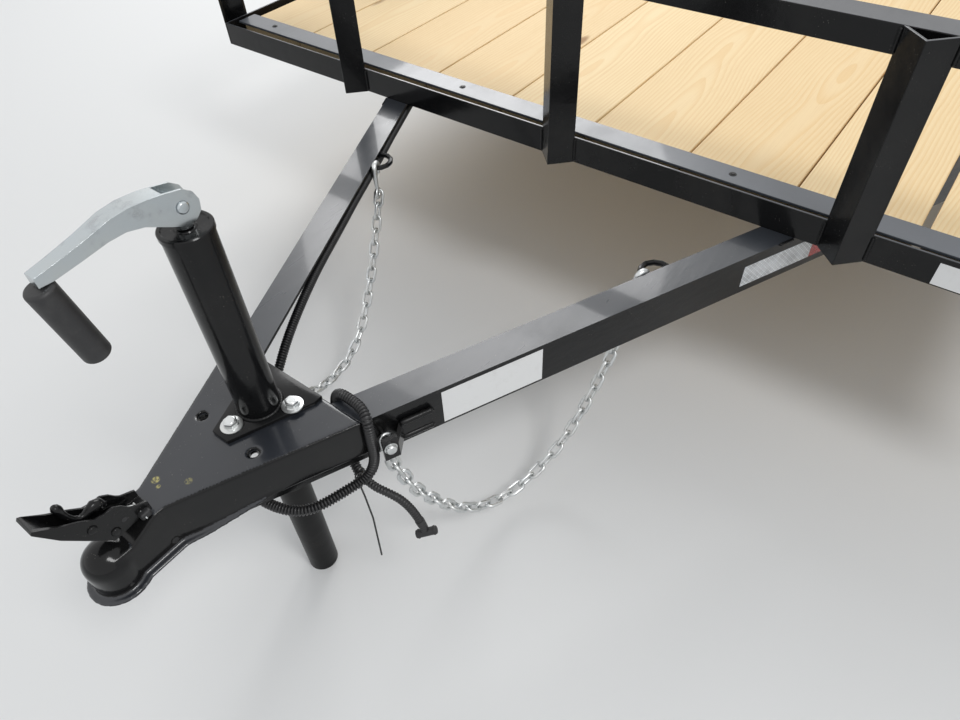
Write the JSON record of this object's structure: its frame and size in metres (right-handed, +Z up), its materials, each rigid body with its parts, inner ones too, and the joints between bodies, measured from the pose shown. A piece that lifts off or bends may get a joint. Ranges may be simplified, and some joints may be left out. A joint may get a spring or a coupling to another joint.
{
  "type": "utility trailer",
  "caption": "Single-axle utility trailer with a planked deck, low tube side rails, an A-frame tongue with a top-wind jack, and a hinged ramp gate.",
  "frame": {"origin": "on the ground on the centreline, halfway between the front of the coupler's lip and the gate's hinge ears", "axes": "+Z up, -Y forwards along the tongue, +X to the trailer's left"},
  "size_m": [2.4518, 4.7636, 1.6886],
  "materials": {
    "frame_enamel": "gloss",
    "fender_enamel": "gloss",
    "pine": "planed, unpainted",
    "zinc": "zinc plated",
    "latch_steel": "gloss",
    "spring_steel": "satin",
    "grip": "matte",
    "wiring": "satin",
    "tyre": "matte",
    "rim_silver": "satin",
    "hub_steel": "satin",
    "lamp_red": "gloss"
  },
  "bodies": {
    "frame": {"side_rail_left": "frame_enamel", "side_rail_right": "frame_enamel", "front_rail": "frame_enamel", "rear_rail": "frame_enamel", "crossmembers": "frame_enamel", "tongue_beam_left": "frame_enamel", "tongue_beam_right": "frame_enamel", "deck_planks": "pine", "plank_strip_front": "frame_enamel", "plank_strip_rear": "frame_enamel", "front_uprights": "frame_enamel", "side_uprights_left": "frame_enamel", "side_uprights_right": "frame_enamel", "top_rail_left": "frame_enamel", "top_rail_right": "frame_enamel", "top_rail_front": "frame_enamel", "coupler_body": "frame_enamel", "coupler_latch": "latch_steel", "jack_tube": "frame_enamel", "axle_beam": "frame_enamel", "leaf_spring_left": "spring_steel", "leaf_spring_right": "spring_steel", "spring_hangers": "frame_enamel", "axle_clamps": "zinc", "fender_left": "fender_enamel", "fender_right": "fender_enamel", "gate_hinges": "frame_enamel", "lamp_brackets": "frame_enamel", "tail_lamps": "lamp_red", "chain_left": "zinc", "chain_right": "zinc", "chain_lugs": "zinc", "wiring_loom": "wiring", "pigtail_cord": "wiring", "trailer_plug": "wiring"},
    "jack_ram": {"jack_ram": "frame_enamel"},
    "jack_crank": {"crank_arm": "zinc", "crank_grip": "grip"},
    "wheel_left": {"tyre_left": "tyre", "rim_left": "rim_silver", "hub_left": "hub_steel"},
    "wheel_right": {"tyre_right": "tyre", "rim_right": "rim_silver", "hub_right": "hub_steel"},
    "ramp_gate": {"gate_stiles": "frame_enamel", "gate_sill": "frame_enamel", "gate_head": "frame_enamel", "gate_rungs": "frame_enamel"}
  },
  "joints": [
    {"name": "jack_slide", "type": "slide", "parent": "frame", "child": "jack_ram", "axis": [0, 0, 1], "range_m": [-0.084, 0.17]},
    {"name": "crank_turn", "type": "hinge", "parent": "frame", "child": "jack_crank", "pos_m": [0, -2.08982, 0.72], "axis": [0, 0, 1], "continuous": true},
    {"name": "wheel_left_spin", "type": "hinge", "parent": "frame", "child": "wheel_left", "pos_m": [1.11, 0.85818, 0.344], "axis": [1, 0, 0], "continuous": true},
    {"name": "wheel_right_spin", "type": "hinge", "parent": "frame", "child": "wheel_right", "pos_m": [-1.11, 0.85818, 0.344], "axis": [1, 0, 0], "continuous": true},
    {"name": "gate_hinge", "type": "hinge", "parent": "frame", "child": "ramp_gate", "pos_m": [0, 2.36782, 0.4454], "axis": [-1, 0, 0], "range_deg": [0, 111]}
  ]
}
